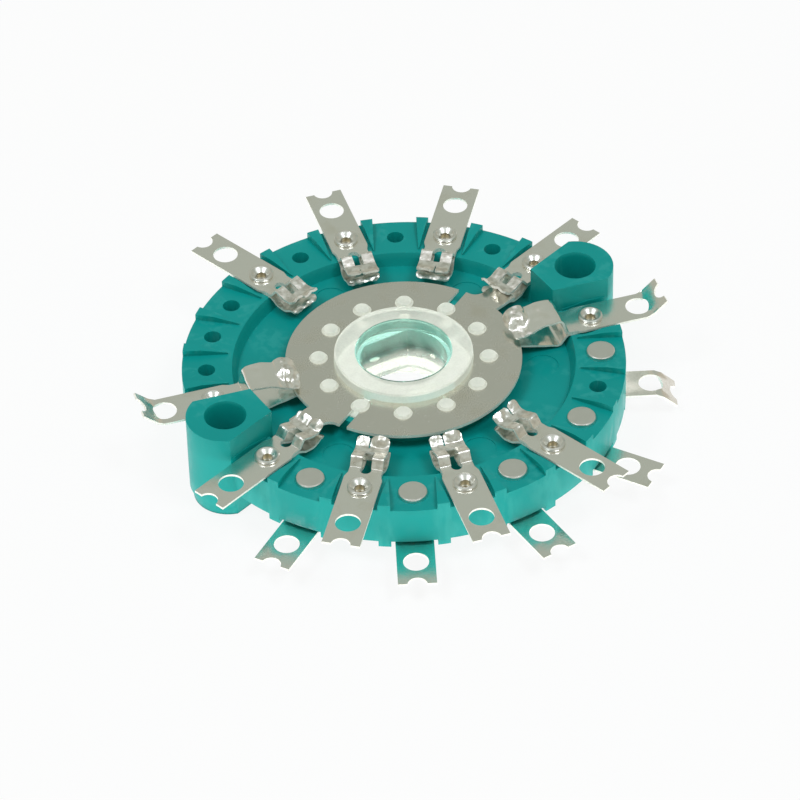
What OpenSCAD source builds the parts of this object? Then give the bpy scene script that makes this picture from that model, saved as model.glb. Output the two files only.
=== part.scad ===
/* [Stator] */
// Radius of the moulded wafer
stator_r = 16.6; // [16.3:0.1:18]
// Thickness of the wafer between its two pocket floors
floor_t = 3.0; // [2.6:0.1:4.5]
// Height of the ribs over the pocket floors
rib_h = 0.5; // [0.2:0.05:0.8]
// Width of the pocket that holds a clip
pocket_w = 3.4; // [3.1:0.05:3.6]
// Radius of the inner edge of the pocket floors
rim_r = 12.85; // [12.5:0.05:13]
// Depth of the ring recess below the pocket floors
recess_depth = 1.0; // [0.8:0.05:1.2]
// Inward lean of the recess wall
recess_draft = 0.4; // [0.1:0.05:0.6]
// Radial width of the land that the rotor turns in
land_w = 0.5; // [0.3:0.05:0.8]
// Radius of the hole for a rivet
station_hole_r = 0.65; // [0.62:0.01:0.8]
// Radius of the round ejector marks in the recess
mark_r = 1.2; // [0.6:0.1:1.4]
// Depth of the ejector marks
mark_depth = 0.06; // [0.02:0.01:0.15]

/* [Tie rod posts] */
// Distance between the two tie rod holes
tie_spacing = 30.9; // [30.4:0.1:31.4]
// Radius of a tie rod hole
tie_hole_r = 1.45; // [1:0.05:1.8]
// Radius of a post
post_r = 2.9; // [2.5:0.05:3.1]
// Height of a post over the pocket floor
post_over = 2.2; // [1.8:0.1:4]
// Length of the post's nose past the inner edge of the pocket floor
post_nose = 0.45; // [0.2:0.05:0.8]
// Height of the narrower foot at the lower end of a post
foot_h = 1.0; // [0.4:0.1:1.6]
// Setback of that foot
foot_inset = 0.24; // [0.1:0.02:0.4]
// Setback of the post's flats behind the pocket walls
post_set = 0.05; // [0.02:0.01:0.2]
// Widening of the tie rod hole at its mouth
mouth_w = 0.12; // [0.05:0.01:0.3]
// Depth of that mouth
mouth_depth = 0.3; // [0.1:0.05:0.6]

/* [Rotor] */
// Angle of the rotor from its first detent
rotor_angle = -2.9; // [-15:0.1:15]
// Radius of the hub
hub_r = 7.35; // [7.2:0.05:7.5]
// Running clearance of the hub in the stator
hub_gap = 0.07; // [0.03:0.01:0.1]
// Clearance between the blades and the land
blade_gap = 0.07; // [0.03:0.01:0.1]
// Radius of the raised boss
boss_r = 5.2; // [5:0.05:5.5]
// Height of the boss over the blades
boss_over = 0.7; // [0.4:0.1:2]
// Radius of the shaft hole
bore_r = 3.25; // [3.1:0.05:3.4]
// Width of the shaft hole over its two flats
bore_flat = 5.4; // [5:0.1:5.8]
// Widening of the shaft hole at each mouth
lead_w = 0.3; // [0.1:0.05:0.5]
// Depth of that widening
lead_depth = 0.8; // [0.3:0.1:1.4]
// Radius of the circle of staked pins
stake_circle_r = 6.36; // [6.2:0.02:6.5]
// Radius of a staked pin
stake_pin_r = 0.42; // [0.3:0.02:0.5]
// Radius of a pin's flattened head
stake_head_r = 0.7; // [0.55:0.02:0.8]
// Height of that head
stake_head_h = 0.22; // [0.08:0.02:0.3]

/* [Blades] */
// Thickness of the blade sheet
blade_t = 0.25; // [0.15:0.05:0.4]
// Height of a blade over the pocket floor
blade_lift = 0.17; // [0.1:0.01:0.3]
// Radius of the blade ring
blade_r = 8.85; // [8.6:0.05:9.2]
// Width of a blade's tab
tab_w = 2.1; // [1.6:0.1:2.4]
// Reach of the tab past the line where the jaws touch it
tab_lap = 0.9; // [0.5:0.1:1.2]
// Fillet on the slot side of the tab
tab_fillet = 0.8; // [0.3:0.1:0.9]
// Width of the slot between two blades
slot_w = 0.65; // [0.4:0.05:0.9]
// Clearance of a blade round the boss and the pins
blade_fit = 0.03; // [0.02:0.01:0.08]

/* [Clips] */
// Positions of each pole
positions = 4; // [2:1:4]
// Thickness of the clip sheet
sheet_t = 0.18; // [0.12:0.02:0.24]
// Distance from the edge of the wafer to the circle of rivets
rivet_set = 1.85; // [1.6:0.05:2.1]
// Width of a solder lug
lug_w = 2.82; // [2.5:0.02:3]
// Reach of the lug's tip past the rivet
lug_reach = 6.1; // [5:0.1:8]
// Reach of the solder hole past the rivet
eye_reach = 3.8; // [3.2:0.1:4.2]
// Radius of the solder hole
eye_r = 0.94; // [0.6:0.02:1]
// Radius of the half round notch in the lug's tip
notch_r = 0.74; // [0.5:0.02:0.9]
// Width of the legs and the jaw
jaw_w = 2.44; // [2.2:0.02:2.6]
// Width of the tip of a long jaw
long_tip_w = 2.2; // [1.8:0.05:2.4]
// Width of the slot between the two legs
leg_slot_w = 0.72; // [0.5:0.02:0.9]
// Height of the step in the legs of a short clip
leg_rise = 0.8; // [0.6:0.05:1.2]
// Height of the step in a long clip
arm_rise = 1.2; // [0.9:0.05:1.6]
// Bend of a long clip's lug, in degrees
lug_bend = 42; // [20:1:60]
// Clearance between a jaw and the blade
jaw_gap = 0.05; // [0.03:0.01:0.1]
// Distance from the blade ring to the tip of a short jaw
tip_gap = 0.45; // [0.3:0.05:0.7]
// Length of the flared lip from the tip to the touching line
lip_len = 0.65; // [0.5:0.05:0.8]
// Width of the spoon end of a spring leaf
spoon_w = 2.6; // [2.2:0.1:2.9]
// Clearance of the spring leaf over the recess floor
spoon_gap = 0.15; // [0.08:0.01:0.25]

/* [Rivets] */
// Radius of a rivet's shank
shank_r = 0.6; // [0.5:0.01:0.61]
// Radius of the hollow in the shank
hollow_r = 0.4; // [0.25:0.01:0.45]
// Depth of that hollow below the leaves
hollow_depth = 0.6; // [0.3:0.05:1.2]
// Radius of the rolled collar
collar_r = 0.92; // [0.8:0.02:1.1]
// Height of the rolled collar
collar_h = 0.26; // [0.2:0.01:0.4]
// Radius of the flat head
head_r = 1.06; // [0.9:0.02:1.3]
// Height of the flat head
head_h = 0.3; // [0.15:0.01:0.4]

/* [Hidden] */
$fn = 64;
teal = "#1a9b91";
clear_white = "#dfe9dd";
satin = "#9b9b91";
bright = "#c4c2b8";
stations = 24;
step = 360 / stations;
half_turn = stations / 2;
post_stations = [0, half_turn];
clip_stations = [for (k = [0 : stations - 1]) if (k % half_turn != 0) k];
top_short = [for (p = post_stations, i = [0 : positions - 1]) p + 1 + 2 * i];
top_long = [for (p = post_stations) (p + stations - 1) % stations];
bottom_long = [stations - 2];
bottom_short = [for (i = [1 : positions]) stations - 2 - 2 * i];
all_clips = concat(top_short, top_long, bottom_short, bottom_long);
over = 1;

// Small steps of the mouldings
rib_blunt = 0.2;
rib_toe_h = rib_h / 3;
nose_inset = 0.29;
boss_edge = 0.12;
stake_crown_r = 0.8 * stake_head_r;

// Places along a clip, as shares of the span from the touching line outwards
leg_share = 0.548;
slot_share = 0.684;
spring_slot_share = 0.3;
edge_share = 0.475;
arm_share = 0.6186;
crown_share = 0.767;
sway_share = 0.437;
long_edge_share = 0.262;
valley_share = 0.52;
long_valley_share = 0.83;
valley_bend_share = 0.346;
crown_bend_share = 0.13;
sway_bend_share = 0.28;

// Lengths along a clip
leg_lean = 0.33;
arm_lean = 0.3;
drop_set = 0.3;
spoon_short = 0.1;
spoon_sink = 0.27;
tip_clear = 0.15;

// Lengths along a clip, from the rivet
shoulder_len = 1.05;
shoulder_taper = 0.5;
tail_len = 1.15;
fold_past = 0.6;
keyhole_set = 0.2;
keyhole_w = 0.06;
notch_out = 0.15 * notch_r;

// Small rises and falls of a clip's sheet
crease_len = 0.22;
crease_drop = 0.13;
edge_drop = 0.16;
crown_rise = 0.05;
sway_rise = 0.46;
edge_rise = 0.45;
lip_rise = 0.2;
lip_drop = 0.22;
crest_set = 0.3;
crest_len = 0.55;
crest_rise = 0.34;
long_crest_set = 0.2;
long_crest_len = 0.5;
long_crest_rise = 0.5;
crest_dip = 0.05;
crest_short = 0.1;
slit_w = 0.14;
finger_root = 0.15;

// Bend radii on the middle of the sheet
leg_bend_r = 0.12;
arm_bend_r = 0.35;
spring_bend_r = 0.3;
long_valley_bend_r = 0.4;
finger_bend_r = 0.25;

// Rounding of a rivet's rolled collar and of the edge of its flat head
collar_roll_r = collar_h / 2;
collar_lip = 0.05;
roll_from = -90;
roll_to = 150;
roll_step = 30;
head_edge = head_h / 3;

// Heights from the middle plane of the wafer
floor_z = floor_t / 2;
rib_z = floor_z + rib_h;
recess_z = floor_z - recess_depth;
post_z = floor_z + post_over;
blade_z = floor_z + blade_lift;
blade_top_z = blade_z + blade_t;
land_z = blade_z - blade_gap;
boss_z = blade_top_z + boss_over;
spring_z = floor_z + sheet_t / 2;
lug_z = floor_z + 1.5 * sheet_t;
clamp_z = floor_z + 2 * sheet_t;
upper_touch_z = blade_top_z + jaw_gap + sheet_t / 2;
lower_touch_z = blade_z - jaw_gap - sheet_t / 2;
spoon_z = recess_z + spoon_gap + sheet_t / 2;

// Radii of the ribs, the rotor and of what the clips reach
rivet_r = stator_r - rivet_set;
rib_in_r = pocket_w / 2 / sin(step / 2);
hub_hole_r = hub_r + hub_gap;
land_r = hub_hole_r + land_w;
tip_r = blade_r + tip_gap;
touch_r = tip_r + lip_len;
tab_r = touch_r + tab_lap;
long_tip_r = land_r + tip_clear;
long_touch_r = long_tip_r + lip_len;
foot_r = between(touch_r, rivet_r, leg_share);
leg_head_r = foot_r - leg_lean;
leg_slot_end_r = between(touch_r, foot_r, slot_share);
spring_slot_end_r = between(touch_r, foot_r, spring_slot_share);
edge_r = between(touch_r, foot_r, edge_share);
arm_foot_r = between(long_touch_r, rivet_r, arm_share);
arm_head_r = arm_foot_r - arm_lean;
drop_r = rim_r - drop_set;
lug_tip_r = rivet_r + lug_reach;
eye_at_r = rivet_r + eye_reach;
fold_r = eye_at_r + fold_past;
shoulder_r = rivet_r - shoulder_len;
neck_r = shoulder_r - shoulder_taper;
tail_r = rivet_r + tail_len;
keyhole_at_r = foot_r + keyhole_set;
keyhole_r = leg_slot_w / 2 + keyhole_w;
notch_at_r = lug_tip_r + notch_out;
hole_fit = 0.02;
rivet_hole_r = shank_r + hole_fit;

function between(a, b, share) = a + (b - a) * share;
function two(k) = str(k < 10 ? "0" : "", k);
function named(word) = [for (k = all_clips) str(word, two(k))];

// Bent sheet: each corner of a path becomes an arc, then the path gets its thickness
function unit(v) = v / norm(v);
function turned(v, a) = [v[0] * cos(a) - v[1] * sin(a), v[0] * sin(a) + v[1] * cos(a)];
function bend(a, b, c, r, n) =
    let (
        back = unit(a - b),
        ahead = unit(c - b),
        half = acos(back * ahead) / 2,
        centre = b + unit(back + ahead) * r / sin(half),
        spin = back[0] * ahead[1] - back[1] * ahead[0] > 0 ? -1 : 1,
        start = b + back * r / tan(half) - centre
    )
    [for (j = [0 : n]) centre + turned(start, spin * (180 - 2 * half) * j / n)];
function rounded(path, r, n = 4) = [
    path[0],
    for (i = [1 : len(path) - 2])
        each bend(path[i - 1], path[i], path[i + 1], is_list(r) ? r[i - 1] : r, n),
    path[len(path) - 1]
];
function before(path, i) = path[max(i - 1, 0)];
function after(path, i) = path[min(i + 1, len(path) - 1)];
function across(v) = [-v[1], v[0]];
function side(path, d) = [
    for (i = [0 : len(path) - 1]) path[i] + across(unit(after(path, i) - before(path, i))) * d
];
function reversed(list) = [for (i = [len(list) - 1 : -1 : 0]) list[i]];
function strip(path, t) = concat(side(path, t / 2), reversed(side(path, -t / 2)));

module bent_sheet(path, width, bend_r) {
    rotate([90, 0, 0])
        linear_extrude(height = width, center = true)
            polygon(strip(rounded(path, bend_r), sheet_t));
}

// Both faces of the wafer are alike
module both_faces() {
    children();
    mirror([0, 0, 1])
        children();
}

// The wafer
module radial_cut(from_r, width, low, high) {
    translate([from_r, -width / 2, low])
        cube([stator_r + post_r - from_r, width, high - low]);
}

module pockets() {
    for (k = clip_stations)
        rotate(k * step)
            radial_cut(rib_in_r * cos(step / 2), pocket_w, floor_z, rib_z + over);
}

// What the turned face loses: the top of the land, the recess and the slope of the ribs
module face_cut() {
    slope_r = rivet_r + head_r / 2;
    rotate_extrude()
        polygon([
            [0, land_z],
            [land_r, land_z],
            [land_r, recess_z],
            [rim_r - recess_draft, recess_z],
            [rim_r, floor_z],
            [rib_in_r + rib_blunt, floor_z],
            [rib_in_r + rib_blunt, floor_z + rib_toe_h],
            [slope_r, rib_z],
            [slope_r, rib_z + over],
            [0, rib_z + over]
        ]);
}

module wafer_disc() {
    difference() {
        cylinder(r = stator_r, h = 2 * rib_z, center = true);
        both_faces() {
            face_cut();
            pockets();
        }
    }
}

// Space between the pockets on either side of a post
module post_wedge() {
    flat_y = pocket_w / 2 + post_set;
    apex_x = flat_y / sin(step);
    far_x = tie_spacing / 2 + 2 * post_r;
    far_y = (far_x - apex_x) * tan(step);
    linear_extrude(height = post_z + over)
        polygon([[apex_x, 0], [far_x, -far_y], [far_x, far_y]]);
}

module post() {
    nose_w = 2 * (post_r - nose_inset);
    at_x = tie_spacing / 2;
    difference() {
        intersection() {
            both_faces()
                post_wedge();
            union() {
                translate([at_x, 0, -post_z])
                    cylinder(r = post_r, h = 2 * post_z);
                translate([rim_r - post_nose, -nose_w / 2, -post_z])
                    cube([at_x - rim_r + post_nose, nose_w, 2 * post_z]);
            }
        }
        translate([at_x, 0, -post_z - over])
            difference() {
                cylinder(r = at_x, h = foot_h + over);
                translate([0, 0, -over])
                    cylinder(r = post_r - foot_inset, h = foot_h + 3 * over);
            }
    }
    translate([at_x, 0, -floor_z])
        cylinder(r = post_r, h = floor_t);
}

module tie_hole() {
    translate([tie_spacing / 2, 0, -post_z - over])
        cylinder(r = tie_hole_r, h = 2 * (post_z + over));
    translate([tie_spacing / 2, 0, post_z - 2 * mouth_depth])
        cylinder(r1 = tie_hole_r - mouth_w, r2 = tie_hole_r + 2 * mouth_w, h = 3 * mouth_depth);
}

module stator() {
    mark_at_r = (land_r + rim_r) / 2;
    color(teal)
        difference() {
            union() {
                wafer_disc();
                for (p = post_stations)
                    rotate(p * step)
                        post();
            }
            cylinder(r = hub_hole_r, h = 2 * (land_z + over), center = true);
            for (k = clip_stations)
                rotate(k * step)
                    translate([rivet_r, 0, -rib_z - over])
                        cylinder(r = station_hole_r, h = 2 * (rib_z + over));
            for (p = post_stations)
                rotate(p * step)
                    tie_hole();
            for (k = [2 : 4 : stations - 1])
                rotate(k * step)
                    translate([mark_at_r, 0, recess_z - mark_depth])
                        cylinder(r = mark_r, h = mark_depth + over);
        }
}

// The rotor
module double_d(r, flat, h) {
    intersection() {
        cylinder(r = r, h = h, center = true);
        cube([2 * r + over, flat, h + over], center = true);
    }
}

module stakes() {
    for (k = [0 : 2 : stations - 1])
        rotate(k * step)
            translate([stake_circle_r, 0, 0]) {
                cylinder(r = stake_pin_r, h = blade_top_z);
                translate([0, 0, blade_top_z])
                    cylinder(r1 = stake_head_r, r2 = stake_crown_r, h = stake_head_h);
            }
}

module rotor_hub() {
    color(clear_white)
        rotate(rotor_angle)
            difference() {
                union() {
                    cylinder(r = hub_r, h = 2 * blade_z, center = true);
                    cylinder(r = boss_r, h = 2 * (boss_z - boss_edge), center = true);
                    both_faces() {
                        translate([0, 0, boss_z - boss_edge])
                            cylinder(r1 = boss_r, r2 = boss_r - boss_edge, h = boss_edge);
                        stakes();
                    }
                }
                double_d(bore_r, bore_flat, 2 * (boss_z + over));
                both_faces()
                    translate([0, 0, boss_z - lead_depth])
                        cylinder(r = bore_r + lead_w, h = lead_depth + over);
            }
}

module tab() {
    fillet_x = sqrt(pow(blade_r + tab_fillet, 2) - pow(tab_w / 2 + tab_fillet, 2));
    intersection() {
        cylinder(r = tab_r, h = blade_t);
        translate([boss_r + stake_pin_r, -tab_w / 2, 0])
            cube([tab_r, tab_w, blade_t]);
    }
    difference() {
        translate([fillet_x - tab_fillet * 2, 0, 0])
            cube([tab_fillet * 2, tab_w / 2 + tab_fillet, blade_t]);
        translate([fillet_x, tab_w / 2 + tab_fillet, -over])
            cylinder(r = tab_fillet, h = blade_t + 2 * over);
        difference() {
            translate([0, 0, -over])
                cylinder(r = tab_r + over, h = blade_t + 2 * over);
            translate([0, 0, -2 * over])
                cylinder(r = blade_r + tab_fillet, h = blade_t + 4 * over);
        }
    }
}

// One half ring over the angles from the slot clockwise to the other slot
module half_ring(with_tab) {
    difference() {
        union() {
            cylinder(r = blade_r, h = blade_t);
            if (with_tab)
                rotate(-step)
                    tab();
        }
        translate([-blade_r - over, -slot_w / 2, -over])
            cube([2 * (blade_r + over), blade_r + tab_r, blade_t + 2 * over]);
        translate([0, 0, -over])
            cylinder(r = boss_r + blade_fit, h = blade_t + 2 * over);
    }
}

module blade(slot_at, with_tab) {
    difference() {
        translate([0, 0, blade_z])
            rotate(slot_at)
                half_ring(with_tab);
        for (k = [0 : 2 : stations - 1])
            rotate(k * step)
                translate([stake_circle_r, 0, blade_z - over])
                    cylinder(r = stake_pin_r + blade_fit, h = blade_t + 2 * over);
    }
}

module top_blade(slot_station) {
    color(satin)
        rotate(rotor_angle)
            blade(slot_station * step, true);
}

module bottom_blade(slot_station, with_tab) {
    color(satin)
        rotate(rotor_angle)
            mirror([0, 0, 1])
                mirror([0, 1, 0])
                    blade(-slot_station * step, with_tab);
}

// The clips, each drawn along +X on the top face
module at_station(k) {
    rotate(k * step)
        mirror([0, 0, is_bottom(k) ? 1 : 0])
            children();
}

function is_bottom(k) = len(search(k, concat(bottom_short, bottom_long))) > 0;
function is_long(k) = len(search(k, concat(top_long, bottom_long))) > 0;

module drill(at_r, r) {
    translate([at_r, 0, floor_z - over])
        cylinder(r = r, h = blade_t + 2 * over);
}

module lug_plan(tip) {
    linear_extrude(height = post_z + over)
        polygon([
            [tip, -lug_w / 2],
            [tip, lug_w / 2],
            [shoulder_r, lug_w / 2],
            [neck_r, jaw_w / 2],
            [0, jaw_w / 2],
            [0, -jaw_w / 2],
            [neck_r, -jaw_w / 2],
            [shoulder_r, -lug_w / 2]
        ]);
}

// Slot between the two legs of a short clip, with its round end
module fork_slot(end_r, low) {
    translate([keyhole_at_r, 0, low])
        cylinder(r = keyhole_r, h = post_z - low);
    translate([end_r, -leg_slot_w / 2, low])
        cube([keyhole_at_r - end_r, leg_slot_w, post_z - low]);
}

module finger(path, tip_w, hand) {
    width = (tip_w - slit_w) / 2;
    translate([0, hand * (slit_w + width) / 2, 0])
        bent_sheet(path, width, finger_bend_r);
}

module short_lug_leaf() {
    head_z = lug_z + leg_rise;
    crest_r = touch_r + crest_set;
    foot = [foot_r, lug_z];
    head = [leg_head_r, head_z];
    crease = [leg_head_r - crease_len, head_z - crease_drop];
    edge = [edge_r, head_z - edge_drop];
    root = edge + unit(edge - crease) * finger_root;
    low_lip = [edge, root, [touch_r, upper_touch_z], [tip_r, upper_touch_z + lip_rise]];
    high_lip = [
        edge,
        root,
        [crest_r, upper_touch_z],
        [crest_r - crest_len, upper_touch_z + crest_rise],
        [tip_r + crest_short, upper_touch_z + crest_rise - crest_dip]
    ];
    difference() {
        union() {
            intersection() {
                bent_sheet([[lug_tip_r, lug_z], foot, head, crease, edge], lug_w, leg_bend_r);
                lug_plan(lug_tip_r);
            }
            finger(low_lip, jaw_w, -1);
            finger(high_lip, jaw_w, 1);
        }
        drill(rivet_r, rivet_hole_r);
        drill(eye_at_r, eye_r);
        drill(notch_at_r, notch_r);
        fork_slot(leg_slot_end_r, floor_z);
    }
}

module long_lug_leaf() {
    head_z = lug_z + arm_rise;
    crest_r = long_touch_r + long_crest_set;
    bend_len = lug_tip_r - fold_r;
    tip = [fold_r + bend_len * cos(lug_bend), lug_z + bend_len * sin(lug_bend)];
    fold = [fold_r, lug_z];
    foot = [arm_foot_r, lug_z];
    head = [arm_head_r, head_z];
    crown = [between(long_touch_r, arm_head_r, crown_share), head_z + crown_rise];
    sway = [between(long_touch_r, arm_head_r, sway_share), upper_touch_z + sway_rise];
    edge = [between(long_touch_r, arm_head_r, long_edge_share), upper_touch_z + edge_rise];
    root = edge + unit(edge - sway) * finger_root;
    crown_bend_r = (arm_head_r - long_touch_r) * crown_bend_share;
    sway_bend_r = (arm_head_r - long_touch_r) * sway_bend_share;
    bends = [arm_bend_r, arm_bend_r, crown_bend_r, sway_bend_r, sway_bend_r];
    low_lip = [edge, root, [long_touch_r, upper_touch_z], [long_tip_r, upper_touch_z + lip_rise]];
    high_lip = [
        edge,
        root,
        [crest_r, upper_touch_z],
        [crest_r - long_crest_len, upper_touch_z + long_crest_rise],
        [long_tip_r + crest_short, upper_touch_z + long_crest_rise - crest_dip]
    ];
    difference() {
        union() {
            intersection() {
                bent_sheet([tip, fold, foot, head, crown, sway, edge], lug_w, bends);
                lug_plan(lug_tip_r);
            }
            finger(low_lip, long_tip_w, -1);
            finger(high_lip, long_tip_w, 1);
        }
        drill(rivet_r, rivet_hole_r);
        drill(eye_at_r, eye_r);
        translate([fold_r, 0, lug_z])
            rotate([0, -lug_bend, 0])
                translate([bend_len + notch_out, 0, -over])
                    cylinder(r = notch_r, h = 2 * over);
    }
}

module lug_leaf(k) {
    color(satin)
        at_station(k)
            if (is_long(k))
                long_lug_leaf();
            else
                short_lug_leaf();
}

module spring_plan(tip, width) {
    translate([0, 0, -floor_z]) {
        translate([rivet_r, 0, 0])
            cylinder(r = jaw_w / 2, h = 2 * post_z);
        translate([tip + width / 2, -jaw_w / 2, 0])
            cube([rivet_r - tip - width / 2, jaw_w, 2 * post_z]);
        translate([tip + width / 2, 0, 0])
            cylinder(r = width / 2, h = 2 * post_z);
    }
}

module spring_leaf(k) {
    tip = is_long(k) ? long_tip_r : tip_r + spoon_short;
    touch = is_long(k) ? long_touch_r : touch_r;
    valley_r = between(touch, drop_r, is_long(k) ? long_valley_share : valley_share);
    valley_bend_r = is_long(k) ? long_valley_bend_r : (drop_r - touch) * valley_bend_share;
    width = is_long(k) ? jaw_w : spoon_w;
    path = [
        [tail_r, spring_z],
        [drop_r, spring_z],
        [valley_r, spoon_z - (is_long(k) ? 0 : spoon_sink)],
        [touch, lower_touch_z],
        [tip, lower_touch_z - lip_drop]
    ];
    color(satin)
        at_station(k)
            difference() {
                intersection() {
                    bent_sheet(path, spoon_w, [spring_bend_r, valley_bend_r, spring_bend_r]);
                    spring_plan(tip, width);
                }
                drill(rivet_r, rivet_hole_r);
                if (!is_long(k))
                    fork_slot(spring_slot_end_r, -floor_z);
            }
}

// Half profile of a rivet: flat head below, hollow shank, funnel collar rolled over the leaves
module rivet_profile() {
    roll_at_r = collar_r - collar_roll_r;
    roll_at_z = clamp_z + collar_h - collar_roll_r;
    polygon([
        [0, -floor_z - head_h],
        for (a = [roll_from : roll_step : 0])
            [head_r - head_edge + head_edge * cos(a), head_edge - floor_z - head_h + head_edge * sin(a)],
        [head_r, -floor_z],
        [shank_r, -floor_z],
        [shank_r, clamp_z],
        for (a = [roll_from : roll_step : roll_to])
            [roll_at_r + collar_roll_r * cos(a), roll_at_z + collar_roll_r * sin(a)],
        [hollow_r, clamp_z - collar_lip],
        [hollow_r, clamp_z - hollow_depth],
        [0, clamp_z - hollow_depth]
    ]);
}

module rivet(k) {
    color(bright)
        at_station(k)
            translate([rivet_r, 0, 0])
                rotate_extrude()
                    rivet_profile();
}

stator();
rotor_hub();
top_blade(2);  // blade_top_a
top_blade(2 + half_turn);  // blade_top_b
bottom_blade(half_turn + 1, true);  // blade_bottom_a
bottom_blade(1, false);  // blade_bottom_b
for (k = all_clips) {
    lug_leaf(k);
    spring_leaf(k);
    rivet(k);
}
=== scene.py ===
"""Looks of a rotary wafer switch section: moulded wafer, clear rotor, contact clips and rivets."""

import logging
import math
from dataclasses import dataclass, replace
from enum import Enum
from typing import Callable

import bpy
import numpy as np
from mathutils import Matrix, Vector
from mathutils.geometry import delaunay_2d_cdt


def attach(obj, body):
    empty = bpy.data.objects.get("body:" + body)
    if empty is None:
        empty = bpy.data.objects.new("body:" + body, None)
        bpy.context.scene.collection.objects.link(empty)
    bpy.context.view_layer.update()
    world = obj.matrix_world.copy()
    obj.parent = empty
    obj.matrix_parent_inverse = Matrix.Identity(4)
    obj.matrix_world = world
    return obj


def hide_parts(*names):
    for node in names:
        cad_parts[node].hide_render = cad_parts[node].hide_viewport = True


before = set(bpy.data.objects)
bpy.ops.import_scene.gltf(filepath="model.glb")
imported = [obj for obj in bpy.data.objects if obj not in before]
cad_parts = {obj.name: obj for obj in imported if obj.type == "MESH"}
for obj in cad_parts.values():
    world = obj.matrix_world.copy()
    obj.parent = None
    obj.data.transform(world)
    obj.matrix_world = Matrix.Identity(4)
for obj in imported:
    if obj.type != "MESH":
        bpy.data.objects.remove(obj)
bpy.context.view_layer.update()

Colour = tuple[float, float, float]
Span = tuple[float, float]
Point = tuple[float, float]
Points = tuple[Point, ...]
Loop = list[Point]
Floats = tuple[float, ...]
Stations = tuple[int, ...]
Array = np.ndarray
Lift = Callable[[Array, Array], Array]
Material = bpy.types.Material
Node = bpy.types.Node
Socket = bpy.types.NodeSocket

LOG = logging.getLogger("wafer_switch")
MM = 0.001
STEP_DEG = 15.0
SHARP_DEG = 40.0
# Sweep in radians under which a corner counts as straight
STRAIGHT = 0.02
# Points on a bend, a round hole, a slot's end, a notch and a round tail
ARC_DOTS, RING_DOTS, SLOT_DOTS, NOTCH_DOTS, TAIL_DOTS = 11, 36, 24, 19, 17
# What is added to a station's number to seed its draws and the waves of its sheets
DRAW_SEED, TIP_SEED, SPRING_SEED, LIP_SEED = 100, 50, 80, 120
# Span that most of a noise pattern lies in
BULK: Span = (0.3, 0.7)


class Body(Enum):
    """The rigid body that the bent pieces ride on."""

    WAFER = "wafer"


class Slot(Enum):
    """The record's material slot of the bent pieces; this script gives it to none of them."""

    CLIP = "clip_metal"


class ClipKind(Enum):
    """The two lengths of contact clip."""

    SHORT = "short"
    LONG = "long"


class Side(Enum):
    """The two faces of the wafer, with the sign of their height."""

    UPPER = 1
    LOWER = -1


@dataclass(frozen=True)
class Pattern:
    """A noise pattern: spots in a millimetre, finer layers and a factor on each axis."""

    per_mm: float
    detail: float = 3.0
    stretch: tuple[float, float, float] = (1.0, 1.0, 1.0)


def metres(span: Span) -> Span:
    """A span of millimetres in metres."""
    return span[0] * MM, span[1] * MM


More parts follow.
